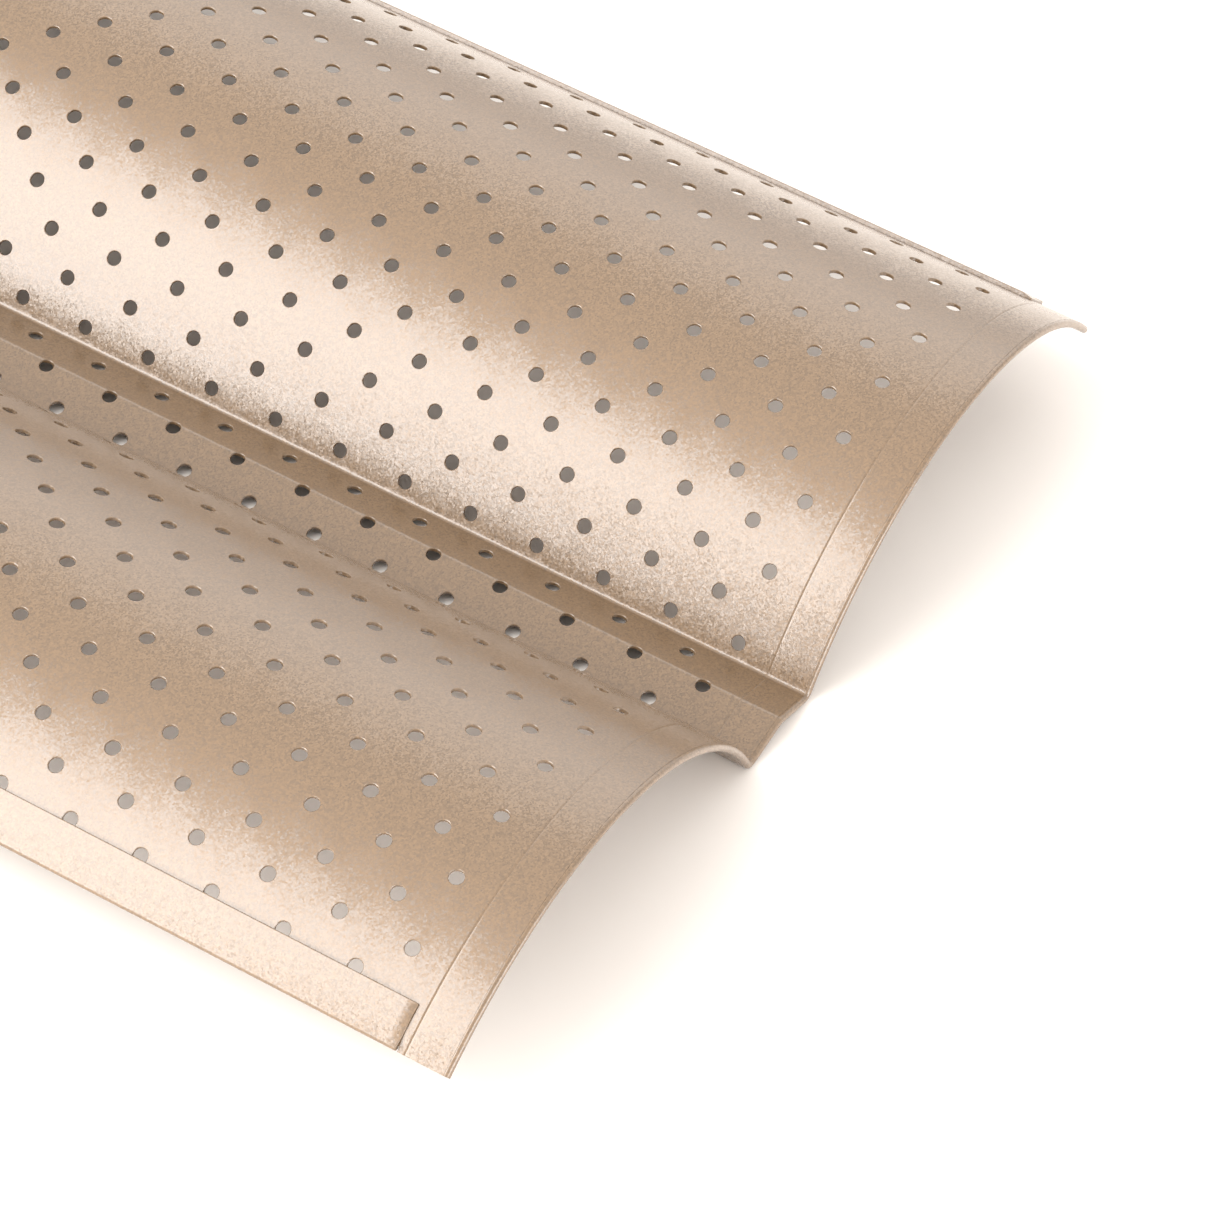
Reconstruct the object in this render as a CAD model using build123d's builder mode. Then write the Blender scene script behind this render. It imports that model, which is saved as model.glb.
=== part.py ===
# Two-channel perforated baguette tray in coated sheet steel, lying open side down.
#
# The sheet's section is a W-shaped centre ridge between two round humps, and it is the
# same all along X. The real tray is one blank: its four edges are folded over, then it is
# pressed. The bodies here are the parts of that blank between its bends and folds:
# two humps, the centre ridge, a folded hem along each long side (on the outer, upper face)
# and a folded hem along each end (on the food side, underneath).
#
# Frame: origin under the middle of the tray, at the level that it rests on; X along the
# channels, Y across them, Z up. Millimetres and degrees.

import os
from math import atan2, cos, degrees, floor, hypot, radians, sin

from build123d import *

# Overall sizes
tray_length = 382.5        # along X, over the folded ends
near_arm = 92.2            # along the surface, from the ridge's peak to the -Y side's fold
far_arm = 95.0             # the same on the +Y side, where the press left more sheet
sheet = 0.5                # steel thickness

# Section
hump_radius = 47.5         # outer face of each hump
hump_slope = 57.75         # how steeply a hump leaves the crease
ridge_half_width = 7.1     # from the peak to the crease, across
ridge_height = 1.8         # of the peak over the creases
crease_radius = 0.6        # outer face, at the bottom of a crease
peak_radius = 1.4          # outer face, over the ridge's peak
crease_lead = 1.0          # straight stretch of sheet from the crease to the hump

# Folded edges
hem_gap = 0.1              # between the folded-over sheet and the sheet it lies on
side_hem_width = 6.1
end_hem_width = 6.0
side_hem_setback = 1.2     # the side hems stop this far short of the end hems
corner_slit = 0.4          # clearance between a side fold and the corner beyond it
end_edge_round = 0.45      # rounding of the folds at the ends

# Perforation: rows along X, every second row shifted by half a pitch
hole_radius = 1.0
hole_pitch = 10.0          # along a row
row_pitch = 5.0            # along the surface, from row to row
pattern_offset = -0.56     # of the middle row from the ridge's peak
end_margin = 10.0          # least distance from a row's last hole to the tray's end
side_margin = 6.0          # least distance from a row to the side fold
punch_clearance = 1.0      # how far a hole's cutter stands proud of the sheet
punch_depth = 2.0 + sheet  # long enough to pass the sheet on both sides

# The section, worked out once about the ridge's centre line. Corners are where the flat
# stretches of the outer face would meet if they had no bend radius.
facet_length = hypot(ridge_half_width, ridge_height)
facet_angle = degrees(atan2(ridge_height, ridge_half_width))
fold_size = sheet + hem_gap / 2
end_stack = 2 * sheet + hem_gap

crease_half_angle = (180 - facet_angle - hump_slope) / 2
crease_tilt = 90 - facet_angle - crease_half_angle
crease_drop = (crease_radius + end_stack) - crease_radius * cos(radians(crease_tilt)) / sin(
    radians(crease_half_angle)
)
lead_y = ridge_half_width + crease_lead * cos(radians(hump_slope))
lead_rise = crease_lead * sin(radians(hump_slope))
hump_y = lead_y + hump_radius * sin(radians(hump_slope))
hump_rise = lead_rise - hump_radius * cos(radians(hump_slope))


def hump_angle(arm):
    """Angle that the hump turns through from its lead to this far along the surface."""
    return degrees((arm - facet_length - crease_lead) / hump_radius)


def side_drop(arm):
    """How far the side's fold or its end hem, whichever is lower, reaches under the crease."""
    lip = radians(hump_angle(arm) - hump_slope)
    fold = radians(hump_angle(arm - fold_size) - hump_slope)
    end_low = (hump_radius - end_stack) * cos(lip)
    fold_low = (hump_radius + hem_gap / 2) * cos(fold) - fold_size
    return -hump_rise - min(end_low, fold_low)


# The tray rests at Z = 0 on its folded ends' creases, or on its sides where they are lower
crease_z = max(crease_drop, side_drop(near_arm), side_drop(far_arm))
lead_z = crease_z + lead_rise
hump_z = crease_z + hump_rise


def overhang(arm):
    """How far the side's fold reaches from the ridge's centre line."""
    lip = radians(hump_angle(arm - fold_size) - hump_slope)
    return hump_y + (hump_radius + hem_gap / 2) * sin(lip) + fold_size


ridge_y = (overhang(near_arm) - overhang(far_arm)) / 2


def facing(angle):
    """Unit vector in the section, from an angle measured from +Y towards +Z."""
    return Vector(cos(radians(angle)), sin(radians(angle)))


def ridge_points(depth):
    """The ridge's corners on a line this far under the outer face, near side first."""
    lead_normal = facing(90 + hump_slope)
    facet_normal = facing(90 - facet_angle)
    crease_miter = (lead_normal + facet_normal) / (1 + lead_normal.dot(facet_normal))
    end = Vector(lead_y, lead_z) - lead_normal * depth
    crease = Vector(ridge_half_width, crease_z) - crease_miter * depth
    peak = crease_z + ridge_height - depth / cos(radians(facet_angle))
    right = [(end.X, end.Y), (crease.X, crease.Y)]
    left = [(-y, z) for y, z in right]
    return [(ridge_y + y, z) for y, z in [*left, (0, peak), *reversed(right)]]


def ridge_line(depth):
    """The ridge's section line this far under the outer face, with its three bends."""
    crease = crease_radius + depth
    return FilletPolyline(*ridge_points(depth), radius=[crease, peak_radius - depth, crease])


def hump_line(side, depth, arm, start=0.0):
    """A hump's section line at a depth, from an angle after its lead to the end of its arm."""
    return CenterArc(
        (ridge_y + side * hump_y, hump_z),
        hump_radius - depth,
        90 + side * (hump_slope - start),
        -side * (hump_angle(arm) - start),
    )


def surface_place(s):
    """Section position and outward angle at a distance s along the outer face."""
    side = 1 if s > 0 else -1
    run = abs(s)
    if run < facet_length:
        y = run * cos(radians(facet_angle))
        z = crease_z + ridge_height - run * sin(radians(facet_angle))
        lean = 90 - facet_angle
    elif run < facet_length + crease_lead:
        y = ridge_half_width + (run - facet_length) * cos(radians(hump_slope))
        z = crease_z + (run - facet_length) * sin(radians(hump_slope))
        lean = 90 + hump_slope
    else:
        lean = 90 + hump_slope - hump_angle(run)
        y = hump_y + hump_radius * cos(radians(lean))
        z = hump_z + hump_radius * sin(radians(lean))
    return ridge_y + side * y, z, 90 + side * (lean - 90)


def hole_places(low, high):
    """A place over the outer face for each hole whose row lies between two distances."""
    half_count = floor((tray_length / 2 - end_margin) / hole_pitch)
    first_row = -floor((near_arm - side_margin + pattern_offset) / row_pitch)
    last_row = floor((far_arm - side_margin - pattern_offset) / row_pitch)
    places = []
    for row in range(first_row, last_row + 1):
        s = row * row_pitch + pattern_offset
        if not low - hole_radius < s < high + hole_radius:
            continue
        y, z, lean = surface_place(s)
        normal = facing(lean)
        count = 2 * half_count + 1 - row % 2
        for k in range(count):
            x = (k - (count - 1) / 2) * hole_pitch
            point = (x, y + normal.X * punch_clearance, z + normal.Y * punch_clearance)
            places.append(Plane(point, x_dir=(1, 0, 0), z_dir=(0, normal.X, normal.Y)).location)
    return places


def write(part, name):
    part.label = name
    export_step(part, f"parts/{name}.step")


os.makedirs("parts", exist_ok=True)

sheet_half = tray_length / 2 - sheet                       # the sheet ends inside the end folds
side_hem_half = tray_length / 2 - end_hem_width - side_hem_setback


# Humps: a perforated arch from the crease to the side fold, with a corner tab at each end
def hump(side, arm):
    with BuildPart() as arch:
        with BuildSketch(Plane.YZ.offset(-sheet_half)):
            with BuildLine():
                outer = hump_line(side, 0, arm - fold_size)
                inner = hump_line(side, sheet, arm - fold_size)
                Line(outer @ 0, inner @ 0)
                Line(outer @ 1, inner @ 1)
            make_face()
        extrude(amount=2 * sheet_half)
        tab = sheet_half - side_hem_half - corner_slit
        for x in (-sheet_half, sheet_half - tab):
            with BuildSketch(Plane.YZ.offset(x)):
                with BuildLine():
                    start = hump_angle(arm - 2 * fold_size)
                    outer = hump_line(side, 0, arm, start)
                    inner = hump_line(side, sheet, arm, start)
                    Line(outer @ 0, inner @ 0)
                    Line(outer @ 1, inner @ 1)
                make_face()
            extrude(amount=tab)
        foot = facet_length + crease_lead
        low, high = sorted((side * foot, side * arm))
        with Locations(*hole_places(low, high)):
            Hole(hole_radius, depth=punch_depth)
    return arch.part


write(hump(-1, near_arm), "trough_near")
write(hump(1, far_arm), "trough_far")

# Centre ridge: two creases with a low peak between them, and three rows of holes
with BuildPart() as centre_ridge:
    with BuildSketch(Plane.YZ.offset(-sheet_half)):
        with BuildLine():
            outer = ridge_line(0)
            inner = ridge_line(sheet)
            Line(outer @ 0, inner @ 0)
            Line(outer @ 1, inner @ 1)
        make_face()
    extrude(amount=2 * sheet_half)
    foot = facet_length + crease_lead
    with Locations(*hole_places(-foot, foot)):
        Hole(hole_radius, depth=punch_depth)
write(centre_ridge.part, "centre_ridge")


# Side hems: the fold round the lip, and the strip that lies back on the outer face
def side_hem(side, arm):
    lip = hump_angle(arm - fold_size)
    strip_start = lip - degrees((side_hem_width - fold_size) / hump_radius)
    lip_lean = 90 + side * (hump_slope - lip)
    fold_reach = facing(lip_lean) * (hump_radius + hem_gap / 2)
    fold_centre = (ridge_y + side * hump_y + fold_reach.X, hump_z + fold_reach.Y)
    with BuildPart() as hem:
        with BuildSketch(Plane.YZ.offset(-side_hem_half)):
            with BuildLine():
                strip_top = hump_line(side, -hem_gap - sheet, arm - fold_size, strip_start)
                strip_back = hump_line(side, -hem_gap, arm - fold_size, strip_start)
                fold_outside = CenterArc(fold_centre, fold_size, lip_lean, -side * 180)
                fold_inside = CenterArc(fold_centre, hem_gap / 2, lip_lean, -side * 180)
                Line(strip_top @ 0, strip_back @ 0)
                Line(fold_outside @ 1, fold_inside @ 1)
            make_face()
        extrude(amount=2 * side_hem_half)
    return hem.part


write(side_hem(-1, near_arm), "side_hem_near")
write(side_hem(1, far_arm), "side_hem_far")


# End hems: a rim that closes the sheet's end, and the strip that lies back underneath
def section_line(depth):
    """The whole section's line this far under the outer face: a hump, the ridge, a hump."""
    return hump_line(-1, depth, near_arm), ridge_line(depth), hump_line(1, depth, far_arm)


def section_band(depth, thickness):
    """Outline of the whole section between two depths under the outer face."""
    near_top, _, far_top = section_line(depth)
    near_back, _, far_back = section_line(depth + thickness)
    Line(near_top @ 1, near_back @ 1)
    Line(far_top @ 1, far_back @ 1)


def end_hem(side):
    end = side * tray_length / 2
    with BuildPart() as hem:
        with BuildSketch(Plane.YZ.offset(end)):
            with BuildLine():
                section_band(0, end_stack)
            make_face()
        extrude(amount=-side * sheet)
        outer_face = hem.faces().sort_by(Axis.X)[0 if side < 0 else -1]
        fillet(outer_face.edges(), end_edge_round)
        with BuildSketch(Plane.YZ.offset(end - side * sheet)):
            with BuildLine():
                section_band(sheet + hem_gap, sheet)
            make_face()
        extrude(amount=-side * (end_hem_width - sheet))
    return hem.part


write(end_hem(-1), "end_hem_left")
write(end_hem(1), "end_hem_right")
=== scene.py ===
import math

import bpy
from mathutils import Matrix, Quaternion, Vector


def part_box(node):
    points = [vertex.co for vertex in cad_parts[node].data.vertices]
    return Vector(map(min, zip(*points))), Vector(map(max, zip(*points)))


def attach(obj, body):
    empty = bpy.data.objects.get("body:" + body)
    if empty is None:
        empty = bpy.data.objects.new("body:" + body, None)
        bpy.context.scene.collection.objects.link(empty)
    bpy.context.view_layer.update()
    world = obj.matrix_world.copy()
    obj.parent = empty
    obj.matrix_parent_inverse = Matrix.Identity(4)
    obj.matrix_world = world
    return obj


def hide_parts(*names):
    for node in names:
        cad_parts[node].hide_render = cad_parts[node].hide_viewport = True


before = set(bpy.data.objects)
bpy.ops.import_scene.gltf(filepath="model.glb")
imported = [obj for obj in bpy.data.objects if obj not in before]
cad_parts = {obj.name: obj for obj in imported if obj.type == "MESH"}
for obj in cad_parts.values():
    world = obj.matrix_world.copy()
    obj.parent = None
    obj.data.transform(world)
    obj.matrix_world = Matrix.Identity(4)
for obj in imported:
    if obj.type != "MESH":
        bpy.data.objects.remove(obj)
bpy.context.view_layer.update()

mm = 0.001

# The blank is drawn flat, hemmed, and then pressed into its section, as the real tray is.
# Flat pieces lie with X across the tray from the near lip, Y back along it (-X of the tray)
# and Z = 0 on the face that ends up outside.
press = {
    "humpRadius": 47.5 * mm,       # outer face
    "humpSlope": 57.75,            # degrees, where a hump leaves its crease
    "lead": 1.0 * mm,              # straight sheet from a crease's corner to its hump
    "ridgeHalfWidth": 7.1 * mm,    # peak to crease, across
    "ridgeHeight": 1.8 * mm,
    "creaseRadius": 0.6 * mm,
    "peakRadius": 1.4 * mm,
    "spanTurn": 20,                # degrees, the most that one span of the curve turns
    "spanSteps": 32,
    "creaseCuts": 8,               # lengths that the flat sheet is cut into for a crease
    "footCut": 0.1 * mm,           # narrow strip at a hump's foot, which keeps its shading clean
    "sharpFrom": 35,               # degrees; gentler edges are shaded smooth
    "faceWeight": 60,              # how much large faces rule the shading
}
facetSlope = math.degrees(math.atan2(press["ridgeHeight"], press["ridgeHalfWidth"]))
facetLength = math.hypot(press["ridgeHeight"], press["ridgeHalfWidth"])


def cornerReach(radius, turn):    # from a bend's sharp corner back to where the bend starts
    return radius * math.tan(math.radians(turn) / 2)


creaseTurn = facetSlope + press["humpSlope"]
creaseReach = cornerReach(press["creaseRadius"], creaseTurn)
creaseRun = press["creaseRadius"] * math.radians(creaseTurn)
peakRun = press["peakRadius"] * math.radians(facetSlope)    # half of the peak's bend
facetRun = facetLength - creaseReach - cornerReach(press["peakRadius"], 2 * facetSlope)
leadRun = press["lead"] - creaseReach
toCrease = peakRun + facetRun                  # along the sheet, from the peak
toHump = toCrease + creaseRun + leadRun
bendLoss = facetLength + press["lead"] - toHump    # the bends cut the corners' length by this

blank = {
    "sheet": 0.5 * mm,
    "nearArm": 92.2 * mm - bendLoss,    # along the sheet, peak to the outside of the near fold
    "farArm": 95.0 * mm - bendLoss,
    "hemGap": 0.1 * mm,                 # air between a folded hem and the sheet
    "length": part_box("end_hem_right")[1].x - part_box("end_hem_left")[0].x,
    "seamFlat": 0.15 * mm,              # flat sheet that goes with each fold
}
foldRadius = (blank["sheet"] + blank["hemGap"]) / 2    # of the folded sheet's middle
foldSize = foldRadius + blank["sheet"] / 2
halfLength = blank["length"] / 2 - foldSize            # the sheet between its end folds
peakAt = blank["nearArm"] - foldSize                   # the peak, from the near fold
blankWidth = peakAt + blank["farArm"] - foldSize


def clearSelection():
    bpy.ops.object.select_all(action="DESELECT")


def makeActive(piece):
    clearSelection()
    piece.select_set(True)
    bpy.context.view_layer.objects.active = piece


def editMode(piece, selectMode="VERT"):
    makeActive(piece)
    bpy.ops.object.mode_set(mode="EDIT")
    bpy.ops.mesh.select_mode(type=selectMode)
    bpy.ops.mesh.select_all(action="DESELECT")


def objectMode():
    bpy.ops.object.mode_set(mode="OBJECT")


def pickVertices(piece, test):    # in edit mode: selects what passes, and the edges between
    objectMode()
    for part in (piece.data.polygons, piece.data.edges):
        part.foreach_set("select", [False] * len(part))
    for vertex in piece.data.vertices:
        vertex.select = test(vertex.co)
    bpy.ops.object.mode_set(mode="EDIT")
    bpy.ops.mesh.select_mode(type="VERT")


def applyModifier(piece, kind, **settings):
    makeActive(piece)
    modifier = piece.modifiers.new(kind.lower(), kind)
    for name, value in settings.items():
        setattr(modifier, name, value)
    bpy.ops.object.modifier_apply(modifier=modifier.name)


touch = 0.01 * mm    # nearer than this counts as the same place
weld = 0.002 * mm    # points nearer than this become one


def close(a, b):
    return abs(a - b) < touch


def applyPlace(piece):
    makeActive(piece)
    bpy.ops.object.transform_apply(location=True, rotation=True, scale=True)


def extrudeEdge(piece, test, *moves):    # pulls the edge that passes the test out, step by step
    pickVertices(piece, test)
    for move in moves:
        bpy.ops.mesh.extrude_edges_move(TRANSFORM_OT_translate={"value": move})


# The press: a section curve that the Curve modifier bends every flat piece along
def sectionHalf(side, arm):
    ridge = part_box("centre_ridge")
    place = Vector((0, (ridge[0].y + ridge[1].y) / 2, ridge[1].z))
    humpTurn = math.degrees((arm - foldSize - toHump) / press["humpRadius"])
    stretches = [
        (press["peakRadius"], -facetSlope),
        (facetRun, None),
        (press["creaseRadius"], creaseTurn),
        (leadRun, None),
        (press["humpRadius"], -humpTurn),
    ]
    heading = 0
    spans = []    # start, its handle, end's handle, end
    for size, turn in stretches:
        steps = 1 if turn is None else math.ceil(abs(turn) / press["spanTurn"])
        for _ in range(steps):
            angle = 0 if turn is None else math.radians(turn / steps)
            start = Vector((0, side * math.cos(heading), math.sin(heading)))
            end = Vector((0, side * math.cos(heading + angle), math.sin(heading + angle)))
            if turn is None:
                reach, chord = size / 3, start * size
            else:
                reach = size * math.tan(abs(angle) / 4) * 4 / 3    # of a round arc's handles
                chord = (start + end).normalized() * 2 * size * math.sin(abs(angle) / 2)
            after = place + chord
            spans.append((place, place + start * reach, after - end * reach, after))
            place = after
            heading += angle
    return spans


def drawSection():
    near = sectionHalf(-1, blank["nearArm"])
    far = sectionHalf(1, blank["farArm"])
    spans = [(d, c, b, a) for a, b, c, d in reversed(near)] + far
    bpy.ops.curve.primitive_bezier_curve_add()
    section = bpy.context.object
    section.name = "pressSection"
    points = section.data.splines[0].bezier_points
    points.add(len(spans) + 1 - len(points))
    for point in points:
        point.handle_left_type = point.handle_right_type = "FREE"
    for k, (start, startHandle, endHandle, end) in enumerate(spans):
        points[k].co, points[k].handle_right = start, startHandle
        points[k + 1].co, points[k + 1].handle_left = end, endHandle
    points[0].handle_left = points[0].co * 2 - points[0].handle_right
    points[-1].handle_right = points[-1].co * 2 - points[-1].handle_left
    section.data.resolution_u = press["spanSteps"]
    return section


section = drawSection()
print("section drawn")


def scoreForBends(piece):    # cuts across the flat sheet where it will bend tightly
    cuts = [share * peakRun for share in (-1, -0.5, 0, 0.5, 1)]
    for side in (-1, 1):
        for k in range(press["creaseCuts"] + 1):
            cuts.append(side * (toCrease + creaseRun * k / press["creaseCuts"]))
        cuts += [side * toHump, side * (toHump + press["footCut"])]
    editMode(piece)
    for cut in cuts:
        bpy.ops.mesh.select_all(action="SELECT")
        bpy.ops.mesh.bisect(plane_co=(peakAt + cut, 0, 0), plane_no=(1, 0, 0))
    objectMode()


def finishPiece(piece, name, *nodes):    # presses a flat piece and gives it to the tray
    applyModifier(piece, "CURVE", object=section, deform_axis="POS_X")
    makeActive(piece)
    bpy.ops.object.shade_smooth_by_angle(angle=math.radians(press["sharpFrom"]))
    applyModifier(piece, "WEIGHTED_NORMAL", keep_sharp=True, weight=press["faceWeight"])
    piece.name = piece.data.name = name
    piece.data.materials.clear()
    piece.data.materials.append(coatedSteel)
    for node in nodes:
        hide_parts(node)
    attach(piece, "root")
    print(name, len(piece.data.polygons), "faces")


def toLinear(hexColour):    # by the sRGB curve
    channels = [int(hexColour[k:k + 2], 16) / 255 for k in (1, 3, 5)]
    return [c / 12.92 if c <= 0.04045 else ((c + 0.055) / 1.055) ** 2.4 for c in channels] + [1]


def addNode(tree, kind, settings={}, links={}, **attributes):
    node = tree.nodes.new(kind)
    for name, value in attributes.items():
        setattr(node, name, value)
    for socket, value in settings.items():
        node.inputs[socket].default_value = value
    for socket, source in links.items():
        tree.links.new(source, node.inputs[socket])
    return node


# Champagne non-stick coating on steel: silicone resin filled with fine metal flake, sprayed
# on the flat blank and baked. The eye gets a warm tan from the flakes, a soft white shine
# from the clear resin over them, a fine glitter, and a faint orange peel.
coating = {
    "flake": 0.22 * mm,          # drawn coarser than real flake, so that its glitter shows
    "flakeTilt": 0.1,            # how far a flake leans, as a share of the normal
    "dark": "#574430",
    "light": "#765D42",
    "metallic": 0.2,             # the flakes' share of the look
    "roughness": 0.55,
    "pigmentIOR": 1.35,          # the binder round the flakes, seen through the resin
    "resinRoughness": 0.25,
    "resinIOR": 1.66,
    "peel": 0.5 * mm,            # width of the orange peel's dimples
    "peelDepth": 0.002 * mm,
    "peelDetail": 1.0,
    "peelRoughness": 0.4,
}


def makeCoatedSteel():
    material = bpy.data.materials.new("champagneCoatedSteel")
    material.use_nodes = True
    tree = material.node_tree
    tree.nodes.clear()
    place = addNode(tree, "ShaderNodeTexCoord").outputs["Object"]
    flakes = addNode(tree, "ShaderNodeTexVoronoi", {"Scale": 1 / coating["flake"]}, {"Vector": place})
    tilt = addNode(tree, "ShaderNodeVectorMath", {1: (0.5, 0.5, 0.5)}, {0: flakes.outputs["Color"]},
                   operation="SUBTRACT")
    tilt = addNode(tree, "ShaderNodeVectorMath", {"Scale": coating["flakeTilt"]},
                   {0: tilt.outputs["Vector"]}, operation="SCALE")
    shade = addNode(tree, "ShaderNodeMix",
                    {"A": toLinear(coating["dark"]), "B": toLinear(coating["light"])},
                    data_type="RGBA")
    tree.links.new(flakes.outputs["Color"], shade.inputs["Factor"])
    peel = addNode(tree, "ShaderNodeTexNoise",
                   {"Scale": 1 / coating["peel"], "Detail": coating["peelDetail"],
                    "Roughness": coating["peelRoughness"]}, {"Vector": place})
    bump = addNode(tree, "ShaderNodeBump", {"Strength": 1.0, "Distance": coating["peelDepth"]},
                   {"Height": peel.outputs["Fac"]})
    normal = addNode(tree, "ShaderNodeVectorMath", {},
                     {0: bump.outputs["Normal"], 1: tilt.outputs["Vector"]}, operation="ADD")
    normal = addNode(tree, "ShaderNodeVectorMath", {}, {0: normal.outputs["Vector"]},
                     operation="NORMALIZE")
    shader = addNode(tree, "ShaderNodeBsdfPrincipled",
                     {"Metallic": coating["metallic"], "Roughness": coating["roughness"],
                      "IOR": coating["pigmentIOR"], "Coat Weight": 1.0,
                      "Coat Roughness": coating["resinRoughness"], "Coat IOR": coating["resinIOR"]},
                     {"Base Color": shade.outputs["Result"], "Normal": normal.outputs["Vector"],
                      "Coat Normal": normal.outputs["Vector"]})
    addNode(tree, "ShaderNodeOutputMaterial", {}, {"Surface": shader.outputs["BSDF"]})
    return material


coatedSteel = makeCoatedSteel()

perforation = {
    "pitch": 10 * mm,             # along a row
    "rowPitch": 5 * mm,
    "holeRadius": 1.0 * mm,
    "sides": 16,                  # of a hole's circle
    "offset": -0.56 * mm,         # middle row from the ridge's peak
    "endMargin": 10 * mm,         # least distance from a hole to the tray's end
    "sideMargin": 6 * mm,
    "rimRound": 0.07 * mm,
}
hems = {
    "sideWidth": 6.1 * mm,        # over the fold
    "endWidth": 6.0 * mm,
    "sideSetback": 1.2 * mm,      # the side hems stop this far short of the end hems
    "cornerSlit": 0.15 * mm,      # between a side hem and the corner tab
    "imprintWidth": 0.22 * mm,    # each flank of the line that the end hem prints on the top
    "imprintDepth": 0.07 * mm,
    "foldSteps": 10,
    "sideRound": 0.18 * mm,       # of the side hems' edges
    "endRound": 0.06 * mm,        # of the end hems' edges, underneath
    "roundSteps": 3,
    "roundFrom": 60,              # degrees; gentler edges stay as they are
    "shutGap": 0.01 * mm,         # air under a side hem's edges, where it is pressed shut
    "pressedEnd": 1.5 * mm,       # length at a side hem's end that the press thinned
    "thinned": 0.45,              # what is left of its thickness there
}
cellHalf = perforation["rowPitch"] / 2
sideHemHalf = blank["length"] / 2 - hems["endWidth"] - hems["sideSetback"]
tabStart = sideHemHalf + hems["cornerSlit"]


def drawHoleCell():    # one punched hole in a flat patch: the upper half of the sheet
    bpy.ops.mesh.primitive_grid_add(x_subdivisions=2, y_subdivisions=4, size=1)
    cell = bpy.context.object
    cell.scale = (2 * cellHalf, perforation["pitch"], 1)
    applyPlace(cell)
    editMode(cell)
    pickVertices(cell, lambda co: co.length < touch)
    bpy.ops.mesh.delete(type="VERT")
    rimRadius = perforation["holeRadius"] + perforation["rimRound"]
    bpy.ops.mesh.primitive_circle_add(vertices=perforation["sides"], radius=rimRadius)
    pickVertices(cell, lambda co: abs(co.y) < cellHalf + touch)
    bpy.ops.mesh.select_mode(type="EDGE")
    bpy.ops.mesh.bridge_edge_loops()
    pickVertices(cell, lambda co: co.length < rimRadius + touch)
    rim = (0, 0, -perforation["rimRound"])
    bpy.ops.mesh.extrude_edges_move(TRANSFORM_OT_translate={"value": rim})
    shrink = perforation["holeRadius"] / rimRadius
    bpy.ops.transform.resize(value=(shrink, shrink, 1), center_override=(0, 0, 0))
    wall = blank["sheet"] / 2 - perforation["rimRound"]
    bpy.ops.mesh.extrude_edges_move(TRANSFORM_OT_translate={"value": (0, 0, -wall)})
    objectMode()
    return cell


def copyPiece(piece):
    copy = piece.copy()
    copy.data = piece.data.copy()
    bpy.context.collection.objects.link(copy)
    return copy


def drawRow(cell, count):
    row = copyPiece(cell)
    applyModifier(row, "ARRAY", count=count, use_relative_offset=False, use_constant_offset=True,
                  constant_offset_displace=(0, perforation["pitch"], 0),
                  use_merge_vertices=True, merge_threshold=touch)
    row.location.y = -(count - 1) / 2 * perforation["pitch"]
    applyPlace(row)
    return row


def drawPerforatedSheet():
    halfCount = math.floor((blank["length"] / 2 - perforation["endMargin"]) / perforation["pitch"])
    rowEnd = (halfCount + 0.5) * perforation["pitch"]
    cell = drawHoleCell()
    evenRow = drawRow(cell, 2 * halfCount + 1)
    oddRow = drawRow(cell, 2 * halfCount)    # set in by half a pitch, so plain at its ends
    editMode(oddRow)
    for way in (-1, 1):
        extrudeEdge(oddRow, lambda co: close(co.y, way * halfCount * perforation["pitch"]),
                    *[(0, way * cellHalf, 0)] * 2)
    objectMode()
    firstRow = -math.floor((blank["nearArm"] - perforation["sideMargin"] + perforation["offset"])
                           / perforation["rowPitch"])
    lastRow = math.floor((blank["farArm"] - perforation["sideMargin"] - perforation["offset"])
                         / perforation["rowPitch"])
    copies = []
    for row in range(firstRow, lastRow + 1):
        copies.append(copyPiece(oddRow if row % 2 else evenRow))
        copies[-1].location.x = peakAt + row * perforation["rowPitch"] + perforation["offset"]
    for spare in (cell, evenRow, oddRow):
        bpy.data.objects.remove(spare)
    makeActive(copies[0])
    for copy in copies:
        copy.select_set(True)
    bpy.ops.object.join()
    sheet = bpy.context.object
    applyPlace(sheet)
    editMode(sheet)
    bpy.ops.mesh.select_all(action="SELECT")
    bpy.ops.mesh.remove_doubles(threshold=touch)
    drawMargins(sheet, min(v.co.x for v in sheet.data.vertices),
                max(v.co.x for v in sheet.data.vertices), rowEnd)
    objectMode()
    return sheet


def drawMargins(sheet, nearEdge, farEdge, rowEnd):    # the plain borders round the rows
    flat = blank["seamFlat"]
    step = (nearEdge - 2 * flat) / 2
    extrudeEdge(sheet, lambda co: close(co.x, nearEdge), (-step, 0, 0), (-step, 0, 0), (-flat, 0, 0))
    step = (blankWidth - farEdge - 2 * flat) / 3
    extrudeEdge(sheet, lambda co: close(co.x, farEdge),
                (step, 0, 0), (step, 0, 0), (step, 0, 0), (flat, 0, 0))
    wide, deep = hems["imprintWidth"], hems["imprintDepth"]
    imprint = blank["length"] / 2 - hems["endWidth"]
    for way in (-1, 1):
        rest = (halfLength - flat - imprint - wide) / 2
        extrudeEdge(sheet, lambda co: close(co.y, way * rowEnd),
                    (0, way * (imprint - wide - rowEnd), 0), (0, way * wide, -deep),
                    (0, way * wide, deep), (0, way * rest, 0), (0, way * rest, 0))
        bpy.ops.mesh.select_all(action="SELECT")
        bpy.ops.mesh.bisect(plane_co=(0, way * tabStart, 0), plane_no=(0, 1, 0))
        for edge, out in ((flat, -1), (blankWidth - flat, 1)):    # corner tabs, past the side hems
            extrudeEdge(sheet, lambda co: close(co.x, edge) and co.y * way > tabStart - touch,
                        (out * (flat + foldSize), 0, 0))


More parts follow.
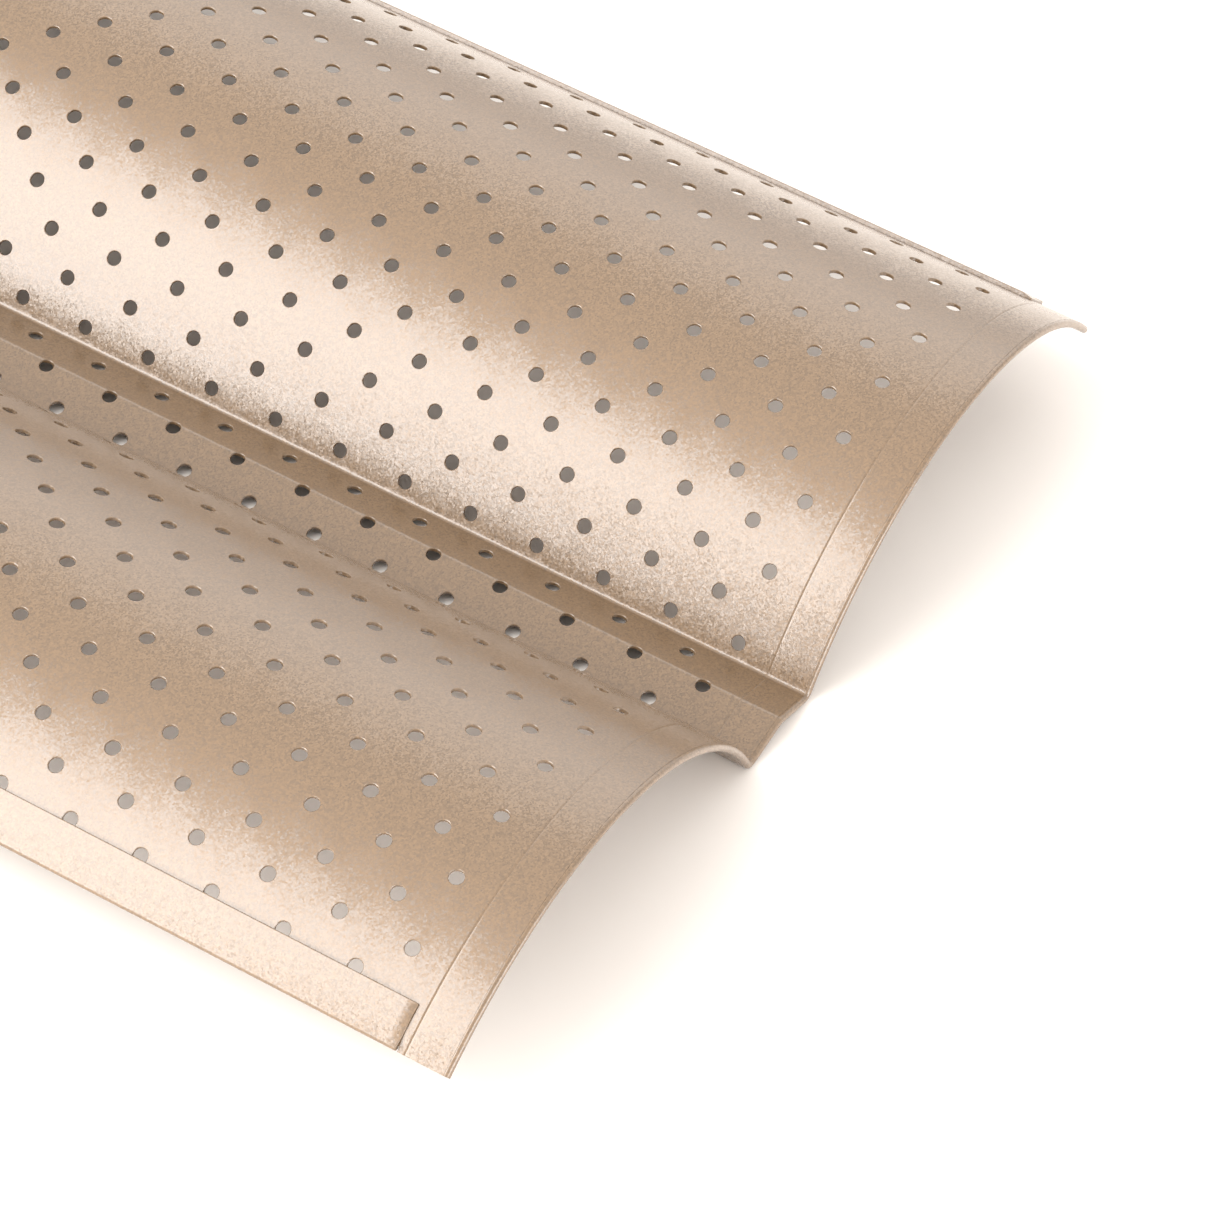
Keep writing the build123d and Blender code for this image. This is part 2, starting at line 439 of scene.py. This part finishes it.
def splitSheet(sheet):    # the near hump, the ridge and the far hump, each a mesh of its own
    pieces = []
    for side in (-1, 1):
        editMode(sheet, "FACE")
        objectMode()
        for face in sheet.data.polygons:
            face.select = side * (face.center.x - peakAt) > toHump
        bpy.ops.object.mode_set(mode="EDIT")
        bpy.ops.mesh.separate(type="SELECTED")
        objectMode()
        pieces.append(next(o for o in bpy.context.selected_objects if o != sheet))
    return pieces[0], sheet, pieces[1]


def closeSheet(piece):    # walls down to the sheet's middle, and the lower half as a mirror
    editMode(piece)
    bpy.ops.mesh.select_all(action="SELECT")
    bpy.ops.mesh.region_to_loop()
    objectMode()
    for edge in piece.data.edges:    # the holes' walls are already there
        if edge.select and all(piece.data.vertices[v].co.z < -blank["sheet"] / 2 + touch
                               for v in edge.vertices):
            edge.select = False
    for vertex in piece.data.vertices:
        vertex.select = False
    bpy.ops.object.mode_set(mode="EDIT")
    bpy.ops.mesh.select_mode(type="EDGE")
    bpy.ops.mesh.extrude_edges_move(TRANSFORM_OT_translate={"value": (0, 0, -blank["sheet"] / 2)})
    objectMode()
    for vertex in piece.data.vertices:    # the imprint's ends stop at the middle too
        vertex.co.z = max(vertex.co.z, -blank["sheet"] / 2)
    piece.location.z = blank["sheet"] / 2
    applyPlace(piece)
    applyModifier(piece, "MIRROR", use_axis=(False, False, True), merge_threshold=weld)
    piece.location.z = -blank["sheet"] / 2
    applyPlace(piece)
    editMode(piece)
    bpy.ops.mesh.select_all(action="SELECT")
    bpy.ops.mesh.remove_doubles(threshold=weld)
    bpy.ops.mesh.normals_make_consistent(inside=False)
    objectMode()


sheet = drawPerforatedSheet()
scoreForBends(sheet)
print("flat sheet", len(sheet.data.polygons), "faces")
sheetPieces = splitSheet(sheet)
sheetNames = (("nearTrough", "trough_near"), ("centreRidge", "centre_ridge"),
              ("farTrough", "trough_far"))
for piece, (name, node) in zip(sheetPieces, sheetNames):
    closeSheet(piece)
    finishPiece(piece, name, node)


def closeHem(piece, edgeRound):    # gives a hem its thickness and rounds its edges
    editMode(piece)
    bpy.ops.mesh.select_all(action="SELECT")
    bpy.ops.mesh.normals_make_consistent(inside=False)
    objectMode()
    applyModifier(piece, "SOLIDIFY", thickness=blank["sheet"], offset=0)
    applyModifier(piece, "BEVEL", width=edgeRound, segments=hems["roundSteps"],
                  limit_method="ANGLE", angle_limit=math.radians(hems["roundFrom"]))
    editMode(piece)
    bpy.ops.mesh.select_all(action="SELECT")
    bpy.ops.mesh.remove_doubles(threshold=weld)
    bpy.ops.mesh.normals_make_consistent(inside=False)
    objectMode()


def pressShut(hem, side, lip, free):    # closes a side hem's edges on the sheet, thins its ends
    editMode(hem)
    thick = sideHemHalf - hems["pressedEnd"]
    for way in (-1, 1):
        bpy.ops.mesh.select_all(action="SELECT")
        bpy.ops.mesh.bisect(plane_co=(0, way * thick, 0), plane_no=(0, 1, 0))
    shut = hems["shutGap"]
    reach = hems["sideRound"] + touch

    def atEnd(co):
        return side * (lip - co.x) > touch and co.z > 0 and sideHemHalf - abs(co.y) < reach

    def underEdge(co):
        low = blank["hemGap"] / 2 < co.z < blank["hemGap"] + reach
        return low and (atEnd(co) or abs(co.x - free) < reach)

    pickVertices(hem, underEdge)
    bpy.ops.transform.resize(value=(1, 1, 0), center_override=(0, 0, shut))
    pickVertices(hem, atEnd)
    bpy.ops.transform.resize(value=(1, 1, hems["thinned"]), center_override=(0, 0, shut))
    objectMode()


def drawSideHem(side):    # lies back on the outer face
    lip = 0 if side < 0 else blankWidth
    strip = hems["sideWidth"] - foldSize
    bpy.ops.mesh.primitive_grid_add(x_subdivisions=4, y_subdivisions=1, size=1)
    hem = bpy.context.object
    hem.scale = (strip, 2 * sideHemHalf, 1)
    hem.location = (lip - side * strip / 2, 0, blank["hemGap"] + blank["sheet"] / 2)
    applyPlace(hem)
    editMode(hem)
    pickVertices(hem, lambda co: close(co.x, lip))
    bpy.ops.mesh.spin(steps=hems["foldSteps"], angle=-side * math.pi, axis=(0, 1, 0),
                      center=(lip, 0, blank["hemGap"] / 2))
    seam = (-side * blank["seamFlat"], 0, 0)
    bpy.ops.mesh.extrude_edges_move(TRANSFORM_OT_translate={"value": seam})
    objectMode()
    closeHem(hem, hems["sideRound"])
    pressShut(hem, side, lip, lip - side * strip)
    return hem


def drawEndHem(way):    # lies back underneath
    strip = hems["endWidth"] - foldSize
    wide = blankWidth + 2 * foldSize
    columns = round(wide / cellHalf)
    bpy.ops.mesh.primitive_grid_add(x_subdivisions=columns, y_subdivisions=1, size=1)
    hem = bpy.context.object
    hem.scale = (wide, strip, 1)
    hem.location = (blankWidth / 2, way * (halfLength - strip / 2),
                    -blank["hemGap"] - blank["sheet"] * 1.5)
    applyPlace(hem)
    scoreForBends(hem)
    editMode(hem)
    pickVertices(hem, lambda co: close(co.y, way * halfLength))
    bpy.ops.mesh.spin(steps=hems["foldSteps"], angle=-way * math.pi, axis=(1, 0, 0),
                      center=(0, way * halfLength, -blank["sheet"] - blank["hemGap"] / 2))
    seam = (0, -way * blank["seamFlat"], 0)
    bpy.ops.mesh.extrude_edges_move(TRANSFORM_OT_translate={"value": seam})
    objectMode()
    closeHem(hem, hems["endRound"])
    return hem


finishPiece(drawSideHem(-1), "nearSideHem", "side_hem_near")
finishPiece(drawSideHem(1), "farSideHem", "side_hem_far")
finishPiece(drawEndHem(1), "leftEndHem", "end_hem_left")
finishPiece(drawEndHem(-1), "rightEndHem", "end_hem_right")
bpy.data.objects.remove(section)

studio = {
    "aim": (0.16714, -0.00529, 0.012),    # on the tray's right-hand end
    "distance": 0.70521,
    "azimuth": 25.587,
    "elevation": 44.468,
    "roll": 7.341,
    "lens": 167.51,
    "nearClip": 0.01,
    "floorSize": 8,
    "floorColour": "#E6DED6",
    "floorRoughness": 0.9,
    "room": 1.3,                          # the pale walls' brightness
    "softboxes": {                        # direction, distance, size in metres, watts
        "keySoftbox": ((-0.62, -0.54, 0.6), 1.6, (1.4, 1.6), 53),
        "backSoftbox": ((-0.25, 0.8, 0.62), 1.8, (2.4, 1.0), 9),
        "endFill": ((0.95, -0.2, 0.2), 1.2, (1.4, 0.4), 17),
        "frontCard": ((-0.31, -0.93, 0.24), 1.6, (1.4, 0.6), 16),
    },
}


def placeCamera():
    turn, rise = math.radians(studio["azimuth"]), math.radians(studio["elevation"])
    level = math.cos(rise)
    back = Vector((math.sin(turn) * level, -math.cos(turn) * level, math.sin(rise)))
    camera = bpy.data.objects.new("camera", bpy.data.cameras.new("camera"))
    bpy.context.collection.objects.link(camera)
    camera.location = Vector(studio["aim"]) + back * studio["distance"]
    aimed = back.to_track_quat("Z", "Y")
    camera.rotation_euler = (aimed @ Quaternion((0, 0, 1), math.radians(studio["roll"]))).to_euler()
    camera.data.lens = studio["lens"]
    camera.data.clip_start = studio["nearClip"]
    bpy.context.scene.camera = camera


def addSoftbox(name, direction, distance, size, strength):
    light = bpy.data.objects.new(name, bpy.data.lights.new(name, "AREA"))
    bpy.context.collection.objects.link(light)
    away = Vector(direction).normalized()
    light.location = Vector(studio["aim"]) + away * distance
    light.rotation_euler = away.to_track_quat("Z", "Y").to_euler()
    light.data.shape = "RECTANGLE"
    light.data.size, light.data.size_y = size
    light.data.energy = strength


def lightRoom():    # pale walls all round
    world = bpy.data.worlds.new("studioRoom")
    bpy.context.scene.world = world
    world.use_nodes = True
    tree = world.node_tree
    tree.nodes.clear()
    walls = addNode(tree, "ShaderNodeBackground",
                    {"Color": toLinear("#FFFFFF"), "Strength": studio["room"]})
    addNode(tree, "ShaderNodeOutputWorld", {}, {"Surface": walls.outputs["Background"]})


def layFloor():
    bpy.ops.mesh.primitive_plane_add(size=studio["floorSize"])
    floor = bpy.context.object
    floor.name = "floor"
    material = bpy.data.materials.new("matteWhiteFloor")
    material.use_nodes = True
    shader = material.node_tree.nodes["Principled BSDF"]
    shader.inputs["Base Color"].default_value = toLinear(studio["floorColour"])
    shader.inputs["Roughness"].default_value = studio["floorRoughness"]
    floor.data.materials.append(material)


placeCamera()
lightRoom()
layFloor()
for name, placing in studio["softboxes"].items():
    addSoftbox(name, *placing)
bpy.context.scene.view_settings.view_transform = "Standard"
print("studio ready")
